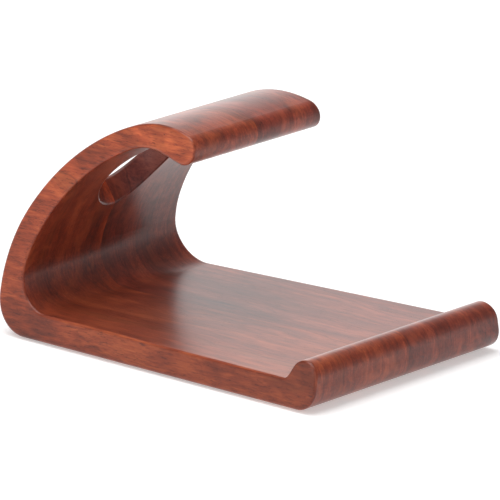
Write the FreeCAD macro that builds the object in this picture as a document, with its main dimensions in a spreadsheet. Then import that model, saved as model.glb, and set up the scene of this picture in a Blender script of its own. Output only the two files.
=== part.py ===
import FreeCAD, Part
import math
import os
import Sketcher

# Phone stand of solid wood: a C-shaped profile (base, lip, back wall and hook) cut from two thick boards
# that are glued side by side, with both flanks trimmed to lean inwards, an oval cable hole through the
# upper back wall, a little to the left of the glue line, and four round anti-slip pads stuck under the base.
# X runs along the width, the lip faces -Y, +Z is up. The origin is at the middle of the footprint, on the
# table.

DIMENSIONS = [
    # alias, value, what it is
    ("depth", 150.5, "overall length, front of the lip to the back wall"),
    ("front_width", 104.2, "width of the underside at the lip"),
    ("rear_width", 90.4, "width of the underside at the back wall"),
    ("side_lean", 10.9, "lean of each flank from the vertical, degrees"),
    ("pad_height", 0.8, "how far the pads hold the wood off the table"),
    ("pad_radius", 5.0, "radius of a pad"),
    ("pad_inset", 9.0, "pad centre to the nearest flank"),
    ("pad_front", 21.0, "front pad centre to the front of the lip"),
    ("pad_rear", 26.0, "rear pad centre to the back wall"),
    ("base_height", 9.6, "thickness of the base plate"),
    ("wall", 9.3, "thickness of the lower stretch of the back wall"),
    ("heel_radius", 13.5, "outside corner between the base and the back wall"),
    ("back_radius", 58.0, "lower stretch of the back wall, outside"),
    ("back_turn", 32.5, "degrees turned over that stretch"),
    ("rise_radius", 90.0, "upper stretch of the back wall, outside"),
    ("rise_turn", 37.0, "degrees turned over that stretch"),
    ("crown_radius", 40.0, "top of the hook, outside"),
    ("crown_turn", 38.0, "degrees turned over the top of the hook"),
    ("nose_radius", 5.2, "rounded end of the hook"),
    ("inner_rise_radius", 79.5, "upper stretch of the back wall, inside"),
    ("hollow_radius", 23.0, "hollow under the hook"),
    ("hollow_back", 62.5, "centre of that hollow to the back wall's rearmost line"),
    ("hollow_up", 51.1, "centre of that hollow above the underside"),
    ("inner_heel_radius", 12.6, "inside corner between the base and the back wall"),
    ("lip_height", 17.0, "top of the lip above the underside"),
    ("lip_radius", 5.9, "rounded top of the lip"),
    ("lip_flank", 31.0, "lean of the lip's inner flank from the vertical, degrees"),
    ("foot_radius", 2.5, "hollow where the lip meets the base"),
    ("toe_radius", 7.5, "rounded lower front edge"),
    ("hole_back", 27.8, "cable hole centre to the back wall's rearmost line"),
    ("hole_up", 60.2, "cable hole centre above the underside"),
    ("hole_aside", 0.6, "cable hole centre to the left of the glue line"),
    ("hole_tilt", 57.0, "direction of the cable hole from the horizontal, degrees"),
    ("hole_turn", 8.5, "turn of the oval about that direction, its top to the left, degrees"),
    ("hole_half_width", 15.5, "half the cable hole across the stand"),
    ("hole_half_length", 19.8, "half the cable hole up the wall"),
    ("hole_round", 0.7, "rounding of the cable hole's front rim"),
    ("hole_round_back", 1.0, "rounding of the cable hole's rear rim"),
    ("edge_round", 1.0, "rounding of the long edges of both flanks"),
    ("pad_round", 0.3, "rounding of a pad's lower rim"),
]

doc = FreeCAD.newDocument("phone_stand")
sheet = doc.addObject("Spreadsheet::Sheet", "dimensions")
for row, (alias, value, meaning) in enumerate(DIMENSIONS, start=1):
    sheet.set(f"A{row}", alias)
    sheet.set(f"B{row}", str(value))
    sheet.set(f"C{row}", meaning)
    sheet.setAlias(f"B{row}", alias)
doc.recompute()


def dim(alias):
    """The number in the sheet's cell."""
    return float(sheet.get(alias))


def cell(alias):
    """The name by which an expression reads the sheet's cell."""
    return f"dimensions.{alias}"


def origin_plane(body, role):
    """One of the body's own origin planes."""
    return next(item for item in body.Origin.OriginFeatures if item.Role == role)


def new_sketch(body, name, role):
    """An empty sketch on one of the body's origin planes."""
    sketch = body.newObject("Sketcher::SketchObject", name)
    sketch.AttachmentSupport = [(origin_plane(body, role), "")]
    sketch.MapMode = "FlatFace"
    return sketch


def bind(sketch, constraint, expression):
    """Add a constraint whose size is an expression over the sheet."""
    index = sketch.addConstraint(constraint)
    sketch.setExpression(f"Constraints[{index}]", expression)
    return index


# ---------------------------------------------------------------- the C-shaped profile, seen from the side

def polar(centre, radius, degrees):
    """The point at an angle on a circle."""
    angle = math.radians(degrees)
    return (centre[0] + radius * math.cos(angle), centre[1] + radius * math.sin(angle))


def angle_between(start, end):
    """Direction from one point to another, in degrees."""
    return math.degrees(math.atan2(end[1] - start[1], end[0] - start[0]))


def profile_segments():
    """The outline as named arcs (centre, radius, first and last angle) and lines (start, end)."""
    half_depth = dim("depth") / 2
    underside = dim("pad_height")
    base_top = underside + dim("base_height")
    wall = dim("wall")

    # outside, from the heel up the back wall to the nose
    heel_radius = dim("heel_radius")
    heel = (half_depth - heel_radius, underside + heel_radius)
    back_radius = dim("back_radius")
    back = (half_depth - back_radius, heel[1])
    back_end = dim("back_turn")
    rise_radius = dim("rise_radius")
    rise = polar(back, back_radius - rise_radius, back_end)
    rise_end = back_end + dim("rise_turn")
    crown_radius = dim("crown_radius")
    crown = polar(rise, rise_radius - crown_radius, rise_end)
    crown_end = rise_end + dim("crown_turn")
    nose_radius = dim("nose_radius")
    nose = polar(crown, crown_radius - nose_radius, crown_end)

    # hollow under the hook, and the inner side of the back wall's upper stretch, which joins it to the
    # lower stretch
    hollow_radius = dim("hollow_radius")
    hollow = (half_depth - dim("hollow_back"), underside + dim("hollow_up"))
    inner_back_radius = back_radius - wall
    inner_rise_radius = dim("inner_rise_radius")
    to_back = inner_rise_radius - inner_back_radius
    to_hollow = inner_rise_radius - hollow_radius
    span = math.dist(back, hollow)
    along = (to_back ** 2 - to_hollow ** 2 + span ** 2) / (2 * span)
    corner = math.degrees(math.acos(along / to_back))
    inner_rise = polar(back, to_back, angle_between(back, hollow) + corner)
    inner_back_end = angle_between(inner_rise, back)
    inner_rise_end = angle_between(inner_rise, hollow)

    # throat: the straight stretch that touches the hollow and the nose
    reach = math.dist(hollow, nose)
    opening = math.degrees(math.acos((hollow_radius + nose_radius) / reach))
    throat_angle = angle_between(hollow, nose) - opening
    throat_start = polar(nose, nose_radius, throat_angle + 180)
    throat_end = polar(hollow, hollow_radius, throat_angle)

    # inside corner: it touches the base's top and the back wall's inner side
    inner_heel_radius = dim("inner_heel_radius")
    inner_heel_z = base_top + inner_heel_radius
    reach = inner_back_radius - inner_heel_radius
    inner_heel_angle = math.degrees(math.asin((inner_heel_z - back[1]) / reach))
    inner_heel = polar(back, reach, inner_heel_angle)

    # lip and toe
    lip_radius = dim("lip_radius")
    lip = (-half_depth + lip_radius, underside + dim("lip_height") - lip_radius)
    lip_flank = dim("lip_flank")
    flank_top = polar(lip, lip_radius, lip_flank)
    foot_radius = dim("foot_radius")
    foot_z = base_top + foot_radius
    foot_touch = polar((0, foot_z), foot_radius, 180 + lip_flank)
    drop = flank_top[1] - foot_touch[1]
    foot = (flank_top[0] + drop * math.tan(math.radians(lip_flank)) - foot_touch[0], foot_z)
    toe_radius = dim("toe_radius")
    toe = (-half_depth + toe_radius, underside + toe_radius)

    return [
        ("underside", "line", (toe[0], underside), (heel[0], underside)),
        ("heel", "arc", heel, heel_radius, -90, 0),
        ("back", "arc", back, back_radius, 0, back_end),
        ("rise", "arc", rise, rise_radius, back_end, rise_end),
        ("crown", "arc", crown, crown_radius, rise_end, crown_end),
        ("nose", "arc", nose, nose_radius, crown_end, throat_angle + 180),
        ("throat", "line", throat_start, throat_end),
        ("hollow", "hollow", hollow, hollow_radius, inner_rise_end, throat_angle),
        ("inner_rise", "hollow", inner_rise, inner_rise_radius, inner_back_end, inner_rise_end),
        ("inner_back", "hollow", back, inner_back_radius, inner_heel_angle, inner_back_end),
        ("inner_heel", "hollow", inner_heel, inner_heel_radius, -90, inner_heel_angle),
        ("base_top", "line", (inner_heel[0], base_top), (foot[0], base_top)),
        ("foot", "hollow", foot, foot_radius, 180 + lip_flank, 270),
        ("flank", "line", polar(foot, foot_radius, 180 + lip_flank), flank_top),
        ("lip", "arc", lip, lip_radius, lip_flank, 180),
        ("front", "line", (-half_depth, lip[1]), (-half_depth, toe[1])),
        ("toe", "arc", toe, toe_radius, 180, 270),
    ]


def draw_profile(sketch):
    """Draw the outline as a closed chain of tangent arcs and lines, and bind its sizes to the sheet."""
    segments = profile_segments()
    index = {}
    for place, (name, kind, *shape) in enumerate(segments):
        index[name] = place
        if kind == "line":
            start, end = (FreeCAD.Vector(u, v, 0) for u, v in shape)
            sketch.addGeometry(Part.LineSegment(start, end))
        else:
            centre, radius, first, last = shape
            circle = Part.Circle(FreeCAD.Vector(*centre, 0), FreeCAD.Vector(0, 0, 1), radius)
            sketch.addGeometry(Part.ArcOfCircle(circle, math.radians(first), math.radians(last)))

    # a hollow arc is followed clockwise, so the chain enters it at its last point
    for place, (name, kind, *shape) in enumerate(segments):
        after = (place + 1) % len(segments)
        leave = 1 if kind == "hollow" else 2
        enter = 2 if segments[after][1] == "hollow" else 1
        sketch.addConstraint(Sketcher.Constraint("Tangent", place, leave, after, enter))

    outside = ("heel", "back", "rise", "crown", "nose", "lip", "toe")
    inside = ("hollow", "inner_rise", "inner_heel", "foot")
    for name in outside + inside:
        radius = Sketcher.Constraint("Radius", index[name], dim(f"{name}_radius"))
        bind(sketch, radius, cell(f"{name}_radius"))
    for name in ("back", "rise", "crown"):
        turn = Sketcher.Constraint("Angle", index[name], math.radians(dim(f"{name}_turn")))
        bind(sketch, turn, f"{cell(name + '_turn')} * 1 deg")
    sketch.addConstraint(Sketcher.Constraint("Coincident", index["back"], 3, index["inner_back"], 3))
    inner_radius = dim("back_radius") - dim("wall")
    bind(sketch, Sketcher.Constraint("Radius", index["inner_back"], inner_radius),
         f"{cell('back_radius')} - {cell('wall')}")

    sketch.addConstraint(Sketcher.Constraint("Horizontal", index["underside"]))
    sketch.addConstraint(Sketcher.Constraint("Horizontal", index["base_top"]))
    sketch.addConstraint(Sketcher.Constraint("Vertical", index["front"]))
    sketch.addConstraint(Sketcher.Constraint("Horizontal", index["heel"], 3, index["back"], 3))
    half_depth = dim("depth") / 2
    to_rear = Sketcher.Constraint("DistanceX", -1, 1, index["heel"], 2, half_depth)
    bind(sketch, to_rear, f"{cell('depth')} / 2")
    to_front = Sketcher.Constraint("DistanceX", index["front"], 1, -1, 1, half_depth)
    bind(sketch, to_front, f"{cell('depth')} / 2")
    bind(sketch, Sketcher.Constraint("DistanceY", -1, 1, index["underside"], 1, dim("pad_height")),
         cell("pad_height"))
    bind(sketch, Sketcher.Constraint("DistanceY", index["underside"], 1, index["base_top"], 1,
                                     dim("base_height")), cell("base_height"))
    bind(sketch, Sketcher.Constraint("DistanceY", index["underside"], 1, index["lip"], 3,
                                     dim("lip_height") - dim("lip_radius")),
         f"{cell('lip_height')} - {cell('lip_radius')}")
    hollow_y = half_depth - dim("hollow_back")
    bind(sketch, Sketcher.Constraint("DistanceX", -1, 1, index["hollow"], 3, hollow_y),
         f"{cell('depth')} / 2 - {cell('hollow_back')}")
    hollow_z = dim("hollow_up")
    bind(sketch, Sketcher.Constraint("DistanceY", index["underside"], 1, index["hollow"], 3, hollow_z),
         cell("hollow_up"))
    flank = Sketcher.Constraint("Angle", index["flank"], math.radians(90 + dim("lip_flank")))
    bind(sketch, flank, f"90 deg + {cell('lip_flank')} * 1 deg")


# ---------------------------------------------------------------- one half of the body

def toe_in():
    """How far each flank moves inwards per millimetre towards the back."""
    return (dim("front_width") - dim("rear_width")) / 2 / dim("depth")


def half_width(y, z):
    """Distance from the middle to the trimmed flank."""
    middle = (dim("front_width") + dim("rear_width")) / 4
    rise = z - dim("pad_height")
    return middle - toe_in() * y - math.tan(math.radians(dim("side_lean"))) * rise


def trim_flank(body, side):
    """Cut the flank along a plane that leans in towards the top and towards the back."""
    sketch = new_sketch(body, f"{body.Name}_flank_line", "XZ_Plane")
    top = 2 * dim("depth") / 3
    outside = dim("front_width")
    corners = [(half_width(0, 0), 0), (outside, 0), (outside, top), (half_width(0, top), top)]
    points = [FreeCAD.Vector(side * x, z, 0) for x, z in corners]
    for start, end in zip(points, points[1:] + points[:1]):
        sketch.addGeometry(Part.LineSegment(start, end))
    for place in range(4):
        sketch.addConstraint(Sketcher.Constraint("Coincident", place, 2, (place + 1) % 4, 1))
    sketch.addConstraint(Sketcher.Constraint("PointOnObject", 0, 1, -1))
    sketch.addConstraint(Sketcher.Constraint("Horizontal", 0))
    sketch.addConstraint(Sketcher.Constraint("Vertical", 1))
    sketch.addConstraint(Sketcher.Constraint("Horizontal", 2))
    bind(sketch, Sketcher.Constraint("DistanceY", 1, 1, 1, 2, top), f"2 * {cell('depth')} / 3")

    # distances across the stand are measured from the middle outwards on either side
    middle = f"({cell('front_width')} + {cell('rear_width')}) / 4"
    lean = f"tan({cell('side_lean')} * 1 deg)"
    across = [
        (0, half_width(0, 0), f"{middle} + {cell('pad_height')} * {lean}"),
        (1, outside, cell("front_width")),
        (3, half_width(0, top), f"{middle} + ({cell('pad_height')} - 2 * {cell('depth')} / 3) * {lean}"),
    ]
    for line, distance, expression in across:
        ends = (-1, 1, line, 1) if side > 0 else (line, 1, -1, 1)
        bind(sketch, Sketcher.Constraint("DistanceX", *ends, distance), expression)

    cut = body.newObject("PartDesign::Pocket", f"{body.Name}_flank")
    cut.Profile = sketch
    cut.SideType = "Symmetric"
    cut.Length = 2 * dim("depth")
    cut.setExpression("Length", f"2 * {cell('depth')}")
    cut.UseCustomVector = True
    cut.Direction = FreeCAD.Vector(-side * toe_in(), 1, 0)
    return cut


def hole_placement():
    """The cable hole's own axes: Z along the hole, Y up the oval, the origin inside the wall."""
    centre = FreeCAD.Vector(-dim("hole_aside"), dim("depth") / 2 - dim("hole_back"),
                            dim("pad_height") + dim("hole_up"))
    tilt = FreeCAD.Rotation(FreeCAD.Vector(1, 0, 0), dim("hole_tilt") - 90)
    turn = FreeCAD.Rotation(FreeCAD.Vector(0, 0, 1), dim("hole_turn"))
    return FreeCAD.Placement(centre, tilt * turn)


def cut_cable_hole(body):
    """Cut the half of the oval cable hole that lies in this half of the body."""
    sketch = new_sketch(body, f"{body.Name}_hole_outline", "XY_Plane")
    sketch.AttachmentOffset = hole_placement()
    sketch.setExpression("AttachmentOffset.Base.x", f"-{cell('hole_aside')}")
    sketch.setExpression("AttachmentOffset.Base.y", f"{cell('depth')} / 2 - {cell('hole_back')}")
    sketch.setExpression("AttachmentOffset.Base.z", f"{cell('pad_height')} + {cell('hole_up')}")
    end_of_length = FreeCAD.Vector(0, dim("hole_half_length"), 0)
    end_of_width = FreeCAD.Vector(dim("hole_half_width"), 0, 0)
    sketch.addGeometry(Part.Ellipse(end_of_length, end_of_width, FreeCAD.Vector()))
    hole = body.newObject("PartDesign::Pocket", f"{body.Name}_hole")
    hole.Profile = sketch
    hole.SideType = "Symmetric"
    hole.Type = "Length"
    hole.Length = 4 * dim("wall")
    hole.setExpression("Length", f"4 * {cell('wall')}")
    return hole


def edges_where(feature, test):
    """Names of the feature's edges whose points, sampled along the edge, all pass a test."""
    names = []
    for number, edge in enumerate(feature.Shape.Edges, start=1):
        points = edge.discretize(7)
        if all(test(point) for point in points):
            names.append(f"Edge{number}")
    return names


def round_edges(body, name, test, alias):
    """Round the edges of the body's last feature that pass a test."""
    base = body.Tip
    fillet = body.newObject("PartDesign::Fillet", f"{body.Name}_{name}")
    fillet.Base = (base, edges_where(base, test))
    fillet.Radius = dim(alias)
    fillet.setExpression("Radius", cell(alias))
    doc.recompute()
    return fillet


def build_half(name, side):
    """One glued half: side is -1 for the left one and 1 for the right one."""
    body = doc.addObject("PartDesign::Body", name)
    body.Label = name
    profile = new_sketch(body, f"{name}_profile", "YZ_Plane")
    draw_profile(profile)
    board = body.newObject("PartDesign::Pad", f"{name}_board")
    board.Profile = profile
    board.Length = dim("front_width") / 2
    board.setExpression("Length", f"{cell('front_width')} / 2")
    board.Reversed = side < 0
    trim_flank(body, side)
    cut_cable_hole(body)
    doc.recompute()

    tolerance = 0.01
    hole_axes = hole_placement().inverse()

    def on_flank(point):
        return abs(side * point.x - half_width(point.y, point.z)) < tolerance

    def on_hole_wall(point):
        seen = hole_axes.multVec(point)
        oval = (seen.x / dim("hole_half_width")) ** 2 + (seen.y / dim("hole_half_length")) ** 2
        return abs(oval - 1) < tolerance

    def through_the_wall(point):
        """Distance from the middle of the wall: below 0 at the front rim, above 0 at the rear rim."""
        reach = dim("rise_radius") - dim("wall") / 2
        rise = next(shape for shape in profile_segments() if shape[0] == "rise")
        return math.dist((point.y, point.z), rise[2]) - reach

    round_edges(body, "long_edges", on_flank, "edge_round")
    round_edges(body, "front_rim", lambda p: on_hole_wall(p) and through_the_wall(p) < 0, "hole_round")
    round_edges(body, "rear_rim", lambda p: on_hole_wall(p) and through_the_wall(p) > 0, "hole_round_back")
    return body


# ---------------------------------------------------------------- anti-slip pads

def build_pad(name, x_side, y, y_expression):
    """A thin disc stuck under the base."""
    pad = doc.addObject("Part::Cylinder", f"{name}_disc")
    pad.setExpression("Radius", cell("pad_radius"))
    pad.setExpression("Height", cell("pad_height"))
    x = x_side * (half_width(y, dim("pad_height")) - dim("pad_inset"))
    pad.Placement = FreeCAD.Placement(FreeCAD.Vector(x, y, 0), FreeCAD.Rotation())
    pad.setExpression("Placement.Base.y", y_expression)
    doc.recompute()
    rounded = doc.addObject("Part::Fillet", name)
    rounded.Label = name
    rounded.Base = pad
    rim = edges_where(pad, lambda point: abs(point.z) < 0.001)
    rounded.Edges = [(int(edge[4:]), dim("pad_round"), dim("pad_round")) for edge in rim]
    return rounded


half_depth = dim("depth") / 2
front_y = (-half_depth + dim("pad_front"), f"-{cell('depth')} / 2 + {cell('pad_front')}")
rear_y = (half_depth - dim("pad_rear"), f"{cell('depth')} / 2 - {cell('pad_rear')}")
pieces = [
    build_half("half_left", -1),
    build_half("half_right", 1),
    build_pad("pad_front_left", -1, *front_y),
    build_pad("pad_front_right", 1, *front_y),
    build_pad("pad_rear_left", -1, *rear_y),
    build_pad("pad_rear_right", 1, *rear_y),
]
doc.recompute()

for item in doc.Objects:
    if "Invalid" in item.State or "Error" in item.State:
        raise RuntimeError(f"{item.Name} failed: {item.State}")
for piece in pieces:
    if piece.Shape.isNull() or not piece.Shape.isValid() or len(piece.Shape.Solids) != 1:
        raise RuntimeError(f"{piece.Label} has no single valid solid")

os.makedirs("parts", exist_ok=True)
for piece in pieces:
    piece.Shape.exportStep(f"parts/{piece.Label}.step")
    box = piece.Shape.BoundBox
    print(f"{piece.Label}: volume {piece.Shape.Volume:.0f} mm3, x {box.XMin:.2f} to {box.XMax:.2f},"
          f" y {box.YMin:.2f} to {box.YMax:.2f}, z {box.ZMin:.2f} to {box.ZMax:.2f}")
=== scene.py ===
import math

import bpy
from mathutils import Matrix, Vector

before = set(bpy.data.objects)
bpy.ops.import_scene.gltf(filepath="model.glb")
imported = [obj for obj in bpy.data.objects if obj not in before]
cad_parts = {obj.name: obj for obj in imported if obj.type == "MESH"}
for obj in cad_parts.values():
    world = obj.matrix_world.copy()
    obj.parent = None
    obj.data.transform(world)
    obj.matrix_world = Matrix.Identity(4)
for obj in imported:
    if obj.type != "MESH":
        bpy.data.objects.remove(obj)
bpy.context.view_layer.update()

MM = 0.001

# ---------------------------------------------------------------- camera
AZIMUTH = -49.877       # degrees from straight in front, negative towards the left flank
ELEVATION = 15.560      # degrees above the table
LOOK_AT = Vector((0.0, -0.00412, 0.03476))
DISTANCE = 2.5679       # m
SENSOR_WIDTH = 36.0     # mm
LENS = 531.48           # mm
CLIP_END = 30.0         # m

# ---------------------------------------------------------------- light
HORIZON_LEVEL = 0.68    # the backdrop is lit at its foot and falls away upwards
WORLD_LEVEL = 0.20      # what it has fallen to
GRADE_TOP = 0.55        # sine of the angle above the table at which it gets there
FLOOR_REACH = 6.0       # m, from the middle of the floor to its edges
FLOOR_TOOTH = 900.0     # specks of the paper per m
FLOOR_GLOW = 0.50       # light that the paper passes on from below
LIGHTS = [
    # name, place (m), size (m), power (W), colour
    ("overhead", (-0.2, 0.2, 2.4), (2.2, 2.2), 54.0, (1.0, 1.0, 1.0)),
    ("left_box", (-2.2, 0.6, 1.0), (1.6, 1.4), 14.0, (1.0, 0.985, 0.96)),
    ("front_fill", (-1.5, -2.0, 1.1), (1.4, 1.4), 11.5, (1.0, 0.99, 0.97)),
    ("back_box", (1.9, 1.6, 0.70), (2.6, 1.5), 11.2, (1.0, 0.985, 0.98)),
]
LIGHTS_AIM = (0.0, 0.0, 0.03)


def add_object(name, data):
    piece = bpy.data.objects.new(name, data)
    bpy.context.scene.collection.objects.link(piece)
    return piece


def aim(piece, target):
    """Turn a camera or a light so that it looks at a point."""
    piece.rotation_mode = "QUATERNION"
    piece.rotation_quaternion = (Vector(target) - piece.location).to_track_quat("-Z", "Y")


def add_camera():
    data = bpy.data.cameras.new("camera")
    data.sensor_width = SENSOR_WIDTH
    data.lens = LENS
    data.clip_end = CLIP_END
    camera = add_object("camera", data)
    around, up = math.radians(AZIMUTH), math.radians(ELEVATION)
    back = Vector((math.sin(around) * math.cos(up), -math.cos(around) * math.cos(up), math.sin(up)))
    camera.location = LOOK_AT + back * DISTANCE
    aim(camera, LOOK_AT)
    bpy.context.scene.camera = camera


def add_lights():
    for name, place, size, power, colour in LIGHTS:
        data = bpy.data.lights.new(name, "AREA")
        data.shape = "RECTANGLE"
        data.size, data.size_y = size
        data.energy = power
        data.color = colour
        lamp = add_object(name, data)
        lamp.location = place
        aim(lamp, LIGHTS_AIM)
        lamp.visible_camera = False


def add_world():
    world = bpy.data.worlds.new("studio")
    world.use_nodes = True
    tree = world.node_tree
    background = tree.nodes["Background"]
    background.inputs["Color"].default_value = (1.0, 1.0, 1.0, 1.0)
    coords = tree.nodes.new("ShaderNodeTexCoord")
    split = tree.nodes.new("ShaderNodeSeparateXYZ")
    level = tree.nodes.new("ShaderNodeMapRange")
    level.inputs["From Min"].default_value = 0.0
    level.inputs["From Max"].default_value = GRADE_TOP
    level.inputs["To Min"].default_value = HORIZON_LEVEL
    level.inputs["To Max"].default_value = WORLD_LEVEL
    tree.links.new(coords.outputs["Generated"], split.inputs[0])
    tree.links.new(split.outputs[2], level.inputs["Value"])
    tree.links.new(level.outputs["Result"], background.inputs["Strength"])
    bpy.context.scene.world = world


# ---------------------------------------------------------------- node helpers
class Shader:
    """A material's node tree, built by short calls that each return an output socket."""

    def __init__(self, name):
        self.material = bpy.data.materials.new(name)
        self.material.use_nodes = True
        self.tree = self.material.node_tree
        self.bsdf = self.tree.nodes["Principled BSDF"]

    def put(self, socket, value):
        if isinstance(value, bpy.types.NodeSocket):
            self.tree.links.new(value, socket)
        elif value is not None:
            socket.default_value = value

    def node(self, kind, **settings):
        made = self.tree.nodes.new(kind)
        for key, value in settings.items():
            setattr(made, key, value)
        return made

    def math(self, operation, first, second=None):
        made = self.node("ShaderNodeMath", operation=operation)
        self.put(made.inputs[0], first)
        self.put(made.inputs[1], second)
        return made.outputs[0]

    def vector(self, operation, first, second=None):
        made = self.node("ShaderNodeVectorMath", operation=operation)
        self.put(made.inputs[0], first)
        self.put(made.inputs[1], second)
        return made.outputs["Vector"]

    def in_mm(self, vector):
        made = self.node("ShaderNodeVectorMath", operation="SCALE")
        self.put(made.inputs[0], vector)
        made.inputs["Scale"].default_value = 1.0 / MM
        return made.outputs["Vector"]

    def weighted_sum(self, pairs):
        total = None
        for value, share in pairs:
            part = self.math("MULTIPLY", value, share)
            total = part if total is None else self.math("ADD", total, part)
        return total

    def split(self, vector):
        made = self.node("ShaderNodeSeparateXYZ")
        self.put(made.inputs[0], vector)
        return made.outputs[0], made.outputs[1], made.outputs[2]

    def noise(self, vector, detail=2.0, roughness=0.5, distortion=0.0):
        made = self.node("ShaderNodeTexNoise")
        self.put(made.inputs["Vector"], vector)
        made.inputs["Scale"].default_value = 1.0
        made.inputs["Detail"].default_value = detail
        made.inputs["Roughness"].default_value = roughness
        made.inputs["Distortion"].default_value = distortion
        return made.outputs["Fac"]

    def line_noise(self, along, detail=2.0, roughness=0.5):
        made = self.node("ShaderNodeTexNoise", noise_dimensions="1D")
        self.put(made.inputs["W"], along)
        made.inputs["Scale"].default_value = 1.0
        made.inputs["Detail"].default_value = detail
        made.inputs["Roughness"].default_value = roughness
        return made.outputs["Fac"]

    def cells(self, vector):
        made = self.node("ShaderNodeTexVoronoi", feature="F1")
        self.put(made.inputs["Vector"], vector)
        made.inputs["Scale"].default_value = 1.0
        return made.outputs["Distance"]

    def step(self, value, low, high, start=0.0, end=1.0):
        """value from low..high to start..end, clamped and eased."""
        made = self.node("ShaderNodeMapRange", interpolation_type="SMOOTHSTEP")
        self.put(made.inputs["Value"], value)
        made.inputs["From Min"].default_value = low
        made.inputs["From Max"].default_value = high
        made.inputs["To Min"].default_value = start
        made.inputs["To Max"].default_value = end
        return made.outputs["Result"]

    def ramp(self, value, stops):
        made = self.node("ShaderNodeValToRGB")
        band = made.color_ramp
        while len(band.elements) < len(stops):
            band.elements.new(1.0)
        for element, (place, colour) in zip(band.elements, stops):
            element.position = place
            element.color = (*colour, 1.0)
        self.put(made.inputs["Fac"], value)
        return made.outputs["Color"]

    def mix(self, amount, first, second, blend="MIX"):
        made = self.node("ShaderNodeMix", data_type="RGBA", blend_type=blend)
        self.put(made.inputs[0], amount)
        for socket, value in ((made.inputs[6], first), (made.inputs[7], second)):
            self.put(socket, (*value, 1.0) if isinstance(value, tuple) else value)
        return made.outputs[2]

    def bump(self, height, strength, distance):
        made = self.node("ShaderNodeBump")
        made.inputs["Strength"].default_value = strength
        made.inputs["Distance"].default_value = distance
        self.put(made.inputs["Height"], height)
        return made.outputs["Normal"]

    def set(self, **values):
        for name, value in values.items():
            self.put(self.bsdf.inputs[name.replace("_", " ")], value)


# ---------------------------------------------------------------- rosewood
HEART_ASIDE = 120.0     # mm, from the glue line to the heart of the log
HEART_UP = 30.0         # mm
BOARD_SHIFT = (0.0, 37.0, 91.0)     # mm per unit of seed, so that no two boards share a figure
LAYER_SHIFT = 211.0     # mm of growth layers per unit of seed

PATTERNS = {
    # name: (specks per mm across, along and up the board), detail, roughness, distortion
    "slow": ((0.020, 0.009, 0.020), 2.0, 0.5, 0.0),
    "wave": ((0.05, 0.030, 0.05), 2.0, 0.5, 0.0),
    "ripple": ((0.28, 0.085, 0.20), 2.0, 0.55, 0.0),
    "fibre": ((1.5, 0.075, 1.5), 5.0, 0.68, 0.0),
    "cloud": ((0.035, 0.022, 0.035), 3.0, 0.55, 0.4),
    "fleck": ((0.55, 0.11, 0.55), 3.0, 0.6, 0.5),
    "end_streak": ((1.1, 0.10, 0.10), 4.0, 0.65, 0.0),
    "end_patch": ((0.11, 0.05, 0.09), 3.0, 0.6, 0.6),
    "hook_cloud": ((0.075, 0.045, 0.06), 3.0, 0.6, 0.8),
    "dash": ((2.4, 0.20, 2.4), 3.0, 0.62, 0.3),
    "swell": ((0.10, 0.035, 0.10), 2.0, 0.5, 0.0),
}
PORES_PER_MM = (2.6, 0.42, 2.6)
LAYER_PATTERNS = {
    # name: lines per mm across the growth layers, detail, roughness
    "bands": (0.16, 5.0, 0.62),
    "veins": (0.085, 3.0, 0.55),
    "hairs": (1.3, 3.0, 0.70),
    "lines": (0.45, 2.0, 0.5),
}
LAYER_BENDS = (("slow", 30.0), ("wave", 9.0), ("ripple", 2.4))      # mm
TONE_SHARES = (("bands", 0.50), ("fibre", 0.46), ("hairs", 0.18), ("cloud", 0.40), ("fleck", 0.34))
TONE_ZERO = 0.440       # taken off, to bring the middle of the wood to the middle of the ramp
TONE_STOPS = (0.22, 0.50, 0.80)     # where the ramp is dark, middle and light

SPANS = {
    # name: a value from low to high becomes start to end, 0 to 1 where they are not given
    "vein": (0.56, 0.70),
    "vein_breaks": (0.35, 0.62, 0.45, 1.0),
    "line": (0.66, 0.74),
    "line_places": (0.40, 0.60),
    "pore": (0.30, 0.12),
    "pore_places": (0.56, 0.42),
    "end_facing": (0.30, 0.95),
    "end_streak": (0.36, 0.64, 0.80, 1.18),
    "end_patch": (0.50, 0.68, 0.0, 0.5),
    "hook_cloud": (0.34, 0.66, 0.66, 1.36),
    "hook_height": (55.0, 70.0),                    # mm
    "flank_facing": (0.55, 0.95),
    "flank_aside": (22.0, 28.0),                    # mm from the glue line
    # painted light and shade on the flank: darker low down, paler high up
    "flank_painted_light": (-20.0, 85.0, 0.70, 1.24),      # mm
    "bore_facing": (0.20, 0.60),
    "bore_aside": (22.0, 18.0),                     # mm from the glue line
    "dash": (0.53, 0.66),
    "dash_places": (0.62, 0.44),
    "beside_glue": (7.0, 2.0),                      # mm from the glue line
    "above_base": (16.0, 34.0, 0.25, 1.0),          # mm
    "below_hook": (74.0, 64.0, 0.30, 1.0),          # mm
    "seam_on_ends": (0.0, 0.5, 0.2, 1.0),
    "glue": (0.14, 0.05),                           # mm from the glue line
}
DEPTHS = {"vein": 0.38, "line": 0.35, "pore": 0.55, "dash": 0.72, "glue": 0.35}
VEIN_SHADE = 0.42       # of the board's dark colour
PORE_SHADE = 0.30
END_TINT = (0.64, 0.50, 0.47)
FLANK_TINT = (1.02, 0.95, 0.80)
# painted shade in the bore of the cable hole
BORE_PAINTED_SHADE = (0.50, 0.52, 0.72)
GLUE_COLOUR = (0.02, 0.007, 0.004)
FLANK_LIGHT_SLOPE = 0.25      # how much of the way back counts as height in the flank's painted light and shade
SEAM_RAGGED = 3.0       # mm, by which the flecks fray the edge of the seam's tint

MATT, MATT_FIBRE, MATT_PORE = 0.42, 0.12, 0.25
GRAIN_FIBRE = 0.4       # how far the fibres stand up, next to the depth of a pore
GRAIN_BUMP = (0.35, 0.00012)        # strength, height (m)
SKIN_PORE = -0.05       # how little of a pore still shows in the coat
SKIN_BUMP = (0.25, 0.0004)
SPECULAR_LEVEL = 0.10
COAT_ROUGHNESS = 0.28
COAT_IOR = 1.36

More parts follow.
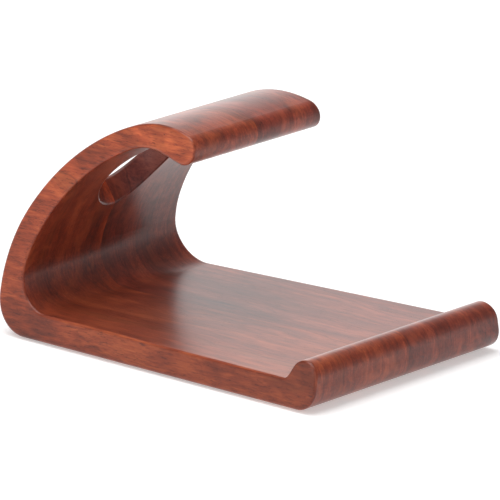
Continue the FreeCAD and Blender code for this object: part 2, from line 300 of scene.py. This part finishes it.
BOARDS = {
    "half_left": dict(name="rosewood_left", seed=1.0, heart_side=-1.0,
                      dark=(0.058, 0.0105, 0.0080), middle=(0.262, 0.048, 0.020),
                      light=(0.51, 0.128, 0.047), seam_tint=(1.50, 1.40, 1.05)),
    "half_right": dict(name="rosewood_right", seed=2.3, heart_side=1.0,
                       dark=(0.050, 0.0105, 0.0090), middle=(0.225, 0.042, 0.023),
                       light=(0.46, 0.110, 0.050), seam_tint=(0.66, 0.66, 0.74)),
}


class Rosewood(Shader):
    """Rosewood with a satin finish and its grain along Y.

    heart_side is the side on which the heart of the log lay, -1 for left and 1 for right."""

    def __init__(self, name, seed, heart_side, dark, middle, light, seam_tint):
        super().__init__(name)
        self.dark, self.middle, self.light = dark, middle, light
        self.seam_tint = seam_tint
        coords = self.node("ShaderNodeTexCoord")
        self.place = self.in_mm(coords.outputs["Object"])
        self.x, self.y, self.z = self.split(self.place)
        self.own = self.vector("ADD", self.place, tuple(seed * shift for shift in BOARD_SHIFT))
        self.aside = self.math("ABSOLUTE", self.x)
        facing_x, facing_y, _ = self.split(coords.outputs["Normal"])
        self.facing_side = self.math("ABSOLUTE", facing_x)
        self.end_grain = self.span("end_facing", self.math("ABSOLUTE", facing_y))
        self.figure = {key: self.pattern(key) for key in ("fibre", "cloud", "fleck")}
        layer = self.growth_layers(seed, heart_side)
        for key, (density, detail, roughness) in LAYER_PATTERNS.items():
            self.figure[key] = self.line_noise(self.math("MULTIPLY", layer, density), detail, roughness)
        self.pore = self.both(self.span("pore", self.cells(self.vector("MULTIPLY", self.own, PORES_PER_MM))),
                              self.span("pore_places", self.figure["fleck"]))

    def span(self, name, value):
        return self.step(value, *SPANS[name])

    def both(self, first, second):
        return self.math("MULTIPLY", first, second)

    def pattern(self, name, place=None):
        density, *settings = PATTERNS[name]
        return self.noise(self.vector("MULTIPLY", self.own if place is None else place, density), *settings)

    def times(self, colour, factor):
        return self.mix(1.0, colour, factor, "MULTIPLY")

    def lay(self, name, where, colour, other):
        return self.mix(self.math("MULTIPLY", where, DEPTHS[name]), colour, other)

    def growth_layers(self, seed, heart_side):
        """Wide curves round a heart far to one side, bent by slow waves."""
        from_heart = self.math("POWER", self.math("ADD", self.x, -heart_side * HEART_ASIDE), 2.0)
        lift = self.math("POWER", self.math("ADD", self.z, -HEART_UP), 2.0)
        layer = self.math("SQRT", self.math("ADD", from_heart, lift))
        for name, reach in LAYER_BENDS:
            layer = self.math("ADD", layer, self.math("MULTIPLY", self.pattern(name), reach))
        return self.math("ADD", layer, LAYER_SHIFT * seed)

    def plain_wood(self):
        tone = self.weighted_sum((self.figure[key], share) for key, share in TONE_SHARES)
        tone = self.math("SUBTRACT", tone, TONE_ZERO)
        return self.ramp(tone, list(zip(TONE_STOPS, (self.dark, self.middle, self.light))))

    def add_veins(self, colour):
        """Black-brown veins along some layers, and finer dark lines between them."""
        vein_colour = tuple(VEIN_SHADE * part for part in self.dark)
        vein = self.span("vein", self.figure["veins"])
        vein = self.both(vein, self.span("vein_breaks", self.figure["fibre"]))
        colour = self.lay("vein", vein, colour, vein_colour)
        line = self.span("line", self.figure["lines"])
        line = self.both(line, self.span("line_places", self.figure["cloud"]))
        return self.lay("line", line, colour, vein_colour)

    def add_pores(self, colour):
        """Open pores: short dashes along the grain, dots on the end grain."""
        return self.lay("pore", self.pore, colour, tuple(PORE_SHADE * part for part in self.dark))

    def add_end_grain(self, colour):
        """Make the end grain darker and redder, streaked across the layers, with orange patches."""
        streaked = self.times(colour, self.span("end_streak", self.pattern("end_streak")))
        colour = self.mix(self.end_grain, colour, streaked)
        patch = self.both(self.end_grain, self.span("end_patch", self.pattern("end_patch")))
        colour = self.mix(patch, colour, self.light)
        return self.mix(self.end_grain, colour, END_TINT, "MULTIPLY")

    def add_hook_clouds(self, colour):
        """Add darker and paler clouds where the wall turns over into the hook."""
        cloudy = self.times(colour, self.span("hook_cloud", self.pattern("hook_cloud")))
        return self.mix(self.span("hook_height", self.z), colour, cloudy)

    def add_flank_painted_light_and_streaks(self, colour):
        """Paint light and shade on the sawn flank, paler towards the top and the back, and streak it along
        the grain.
        """
        flank = self.both(self.span("flank_facing", self.facing_side), self.span("flank_aside", self.aside))
        height = self.math("ADD", self.z, self.math("MULTIPLY", self.y, FLANK_LIGHT_SLOPE))
        # painted light and shade: the flank is made paler towards the top and the back
        colour = self.mix(flank, colour, self.times(colour, self.span("flank_painted_light", height)))
        dash = self.span("dash", self.pattern("dash"))
        dash = self.both(dash, self.span("dash_places", self.figure["fleck"]))
        colour = self.lay("dash", self.both(flank, dash), colour, self.dark)
        return self.mix(flank, colour, FLANK_TINT, "MULTIPLY")

    def add_bore_painted_shade(self, colour):
        """Paint shade into the bore of the cable hole, making it darker."""
        bore = self.both(self.span("bore_facing", self.facing_side), self.span("bore_aside", self.aside))
        # painted shade darkens the hollow of the hole
        return self.mix(bore, colour, BORE_PAINTED_SHADE, "MULTIPLY")

    def add_seam(self, colour):
        """Set the boards apart beside the glue line, most on the back wall and little elsewhere."""
        ragged = self.math("MULTIPLY", self.figure["fleck"], SEAM_RAGGED)
        beside = self.span("beside_glue", self.math("ADD", self.aside, ragged))
        on_wall = self.both(self.span("above_base", self.z), self.span("below_hook", self.z))
        on_wall = self.both(on_wall, self.span("seam_on_ends", self.end_grain))
        colour = self.mix(self.both(beside, on_wall), colour, self.seam_tint, "MULTIPLY")
        return self.lay("glue", self.span("glue", self.aside), colour, GLUE_COLOUR)

    def finish(self, colour):
        """A satin finish over open grain, with a slow swell in the coat."""
        fibre = self.figure["fibre"]
        matt = self.math("ADD", MATT, self.math("MULTIPLY", fibre, MATT_FIBRE))
        matt = self.math("ADD", matt, self.math("MULTIPLY", self.pore, MATT_PORE))
        grain = self.math("SUBTRACT", self.math("MULTIPLY", fibre, GRAIN_FIBRE), self.pore)
        swell = self.pattern("swell", self.place)
        skin = self.math("ADD", swell, self.math("MULTIPLY", self.pore, SKIN_PORE))
        self.set(Base_Color=colour, Roughness=matt, Normal=self.bump(grain, *GRAIN_BUMP))
        self.set(Specular_IOR_Level=SPECULAR_LEVEL, Coat_Weight=1.0, Coat_Roughness=COAT_ROUGHNESS)
        self.set(Coat_IOR=COAT_IOR, Coat_Normal=self.bump(skin, *SKIN_BUMP))


def rosewood(**board):
    wood = Rosewood(**board)
    colour = wood.plain_wood()
    for add in (wood.add_veins, wood.add_pores, wood.add_end_grain, wood.add_hook_clouds, wood.add_flank_painted_light_and_streaks,
                wood.add_bore_painted_shade, wood.add_seam):
        colour = add(colour)
    wood.finish(colour)
    return wood.material


# ---------------------------------------------------------------- rubber and floor
PEBBLES_PER_MM = 3.2
PEBBLE_BUMP = (0.5, 0.00015)        # strength, height (m)
DUST_PER_MM = 0.6
DUST_SPAN = (0.45, 0.75)
RUBBER_MATT, RUBBER_MATT_DUST = 0.55, 0.3
RUBBER_SPECULAR = 0.3
RUBBER_BLACK = (0.012, 0.012, 0.013)
RUBBER_DUSTY = (0.035, 0.034, 0.033)
PAPER_LOW = (0.74, 0.74, 0.74)
PAPER_HIGH = (0.77, 0.77, 0.77)
PAPER_MATT = 0.95
PAPER_SPECULAR = 0.1


def rubber(name):
    """Black rubber with a fine pebbled face."""
    s = Shader(name)
    place = s.in_mm(s.node("ShaderNodeTexCoord").outputs["Object"])
    pebble = s.cells(s.vector("MULTIPLY", place, (PEBBLES_PER_MM,) * 3))
    dust = s.noise(s.vector("MULTIPLY", place, (DUST_PER_MM,) * 3), 4.0, 0.6)
    colour = s.mix(s.step(dust, *DUST_SPAN), RUBBER_BLACK, RUBBER_DUSTY)
    matt = s.math("ADD", RUBBER_MATT, s.math("MULTIPLY", dust, RUBBER_MATT_DUST))
    s.set(Base_Color=colour, Roughness=matt)
    s.set(Normal=s.bump(pebble, *PEBBLE_BUMP), Specular_IOR_Level=RUBBER_SPECULAR)
    return s.material


def dress(piece, material):
    piece.data.materials.clear()
    piece.data.materials.append(material)


def add_floor():
    corners = [(FLOOR_REACH * a, FLOOR_REACH * b, 0) for a, b in ((-1, -1), (1, -1), (1, 1), (-1, 1))]
    mesh = bpy.data.meshes.new("floor")
    mesh.from_pydata(corners, [], [(0, 1, 2, 3)])
    floor = add_object("floor", mesh)
    s = Shader("floor_paper")
    coords = s.node("ShaderNodeTexCoord")
    tooth = s.noise(s.vector("MULTIPLY", coords.outputs["Object"], (FLOOR_TOOTH,) * 3), 2.0, 0.5)
    paper = s.mix(tooth, PAPER_LOW, PAPER_HIGH)
    s.set(Base_Color=paper, Roughness=PAPER_MATT, Specular_IOR_Level=PAPER_SPECULAR)
    s.set(Emission_Color=paper, Emission_Strength=FLOOR_GLOW)
    dress(floor, s.material)


add_camera()
add_lights()
add_world()
add_floor()

woods = {node: rosewood(**board) for node, board in BOARDS.items()}
pad_rubber = rubber("pad_rubber")
for name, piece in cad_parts.items():
    dress(piece, woods.get(name, pad_rubber))

bpy.context.scene.view_settings.view_transform = "Standard"
